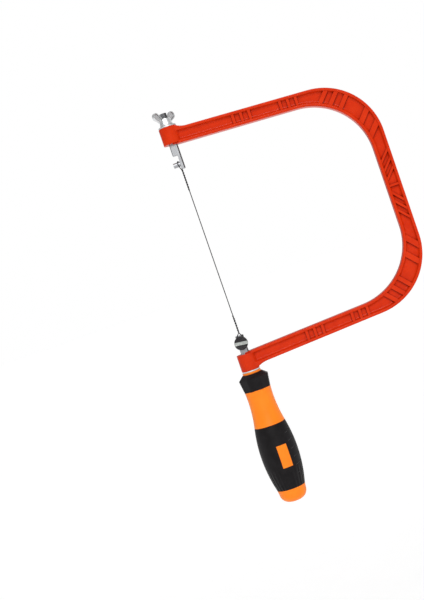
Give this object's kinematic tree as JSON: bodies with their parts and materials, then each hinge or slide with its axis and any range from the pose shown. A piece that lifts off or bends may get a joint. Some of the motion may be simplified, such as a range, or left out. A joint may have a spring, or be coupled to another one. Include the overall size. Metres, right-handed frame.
{
  "type": "bow saw",
  "caption": "Hand bow saw with a cast U frame, a twisted cutting wire between two adjustable hook bars, a wing nut, a slotted clamp screw and a two-colour turned handle.",
  "frame": {"origin": "on the handle's axis, where the grip is widest", "axes": "+Z along the cutting wire from the handle to the wing nut, +X from the wire to the back of the frame, +Y through the frame's thickness"},
  "size_m": [0.188, 0.033, 0.3513],
  "materials": {
    "frame_paint": "gloss",
    "bar_steel": "satin",
    "bright_zinc": "bright",
    "wire_steel": "satin",
    "screw_black": "black oxide",
    "handle_orange": "satin",
    "grip_black": "matt"
  },
  "bodies": {
    "frame": {"bow_frame": "frame_paint", "upper_washer": "bright_zinc", "lower_washer": "bright_zinc"},
    "wing_nut": {"wing_nut": "bright_zinc"},
    "upper_hook": {"upper_hook_bar": "bar_steel", "upper_hook_peg": "bar_steel"},
    "handle": {"handle_core": "handle_orange", "grip_collar": "grip_black", "grip_sleeve": "grip_black", "handle_nut": "bright_zinc"},
    "lower_hook": {"lower_hook_bar": "bar_steel", "saw_wire": "wire_steel"},
    "clamp_washer": {"clamp_washer": "bright_zinc"},
    "clamp_screw": {"clamp_screw": "screw_black"}
  },
  "joints": [
    {"name": "wing_nut_turn", "type": "hinge", "parent": "frame", "child": "wing_nut", "pos_m": [0, 0, 0.2962], "axis": [0, 0, 1], "range_deg": [0, 1440.01]},
    {"name": "upper_hook_slide", "type": "slide", "parent": "frame", "child": "upper_hook", "axis": [0, 0, 1], "range_m": [-0.004, 0], "deforming": ["saw_wire"]},
    {"name": "handle_turn", "type": "hinge", "parent": "frame", "child": "handle", "pos_m": [0, 0, 0.05], "axis": [0, 0, -1], "range_deg": [0, 540.01]},
    {"name": "lower_hook_slide", "type": "slide", "parent": "frame", "child": "lower_hook", "axis": [0, 0, 1], "range_m": [0, 0.0015]},
    {"name": "clamp_washer_slide", "type": "slide", "parent": "lower_hook", "child": "clamp_washer", "axis": [0, -1, 0], "range_m": [0, 0.0016]},
    {"name": "clamp_screw_turn", "type": "hinge", "parent": "clamp_washer", "child": "clamp_screw", "pos_m": [0, -0.005, 0.1004], "axis": [0, -1, 0], "range_deg": [0, 720.01]}
  ],
  "couplings": [
    {"joint": "wing_nut_turn", "follows": "upper_hook_slide", "rad_per_m": -6283.2},
    {"joint": "handle_turn", "follows": "lower_hook_slide", "rad_per_m": 6283.2},
    {"joint": "clamp_screw_turn", "follows": "clamp_washer_slide", "rad_per_m": 7854}
  ]
}
